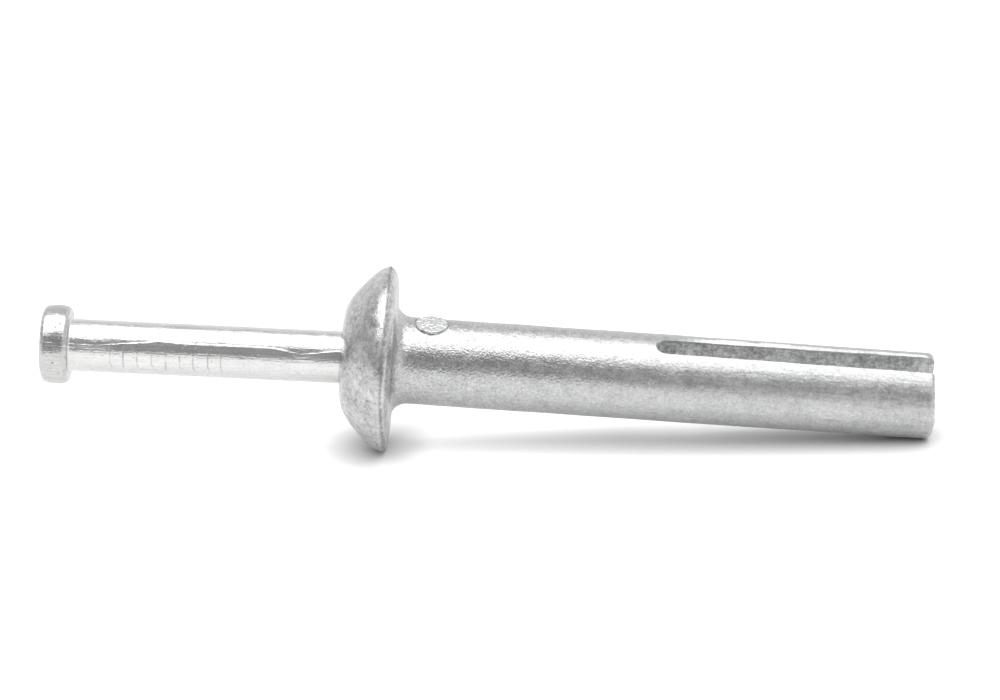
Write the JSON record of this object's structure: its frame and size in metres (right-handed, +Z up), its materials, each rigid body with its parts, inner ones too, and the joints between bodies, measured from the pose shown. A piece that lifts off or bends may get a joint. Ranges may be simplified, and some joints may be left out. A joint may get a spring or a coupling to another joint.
{
  "type": "hammer drive anchor",
  "caption": "Hammer drive masonry anchor: die-cast zinc body with a mushroom head and a slotted expansion shank, and a headed steel drive pin standing proud of it.",
  "frame": {"origin": "centre of the footprint, on the surface that the anchor lies on", "axes": "+X from the pin's head towards the tip of the shank, +Z up; the anchor's own axis dips 5.27 degrees below +X, because it lies on the rim of its head and on its tip, and the pin leans 1.3 degrees from that axis in its bore"},
  "size_m": [0.0632, 0.013, 0.0131],
  "materials": {
    "zinc_body": "as-cast satin zinc alloy, finely pitted",
    "steel_pin": "bright zinc-plated steel, lightly drawn lengthwise"
  },
  "bodies": {
    "root": {"anchor_body": "zinc_body", "drive_pin": "steel_pin"}
  },
  "joints": []
}
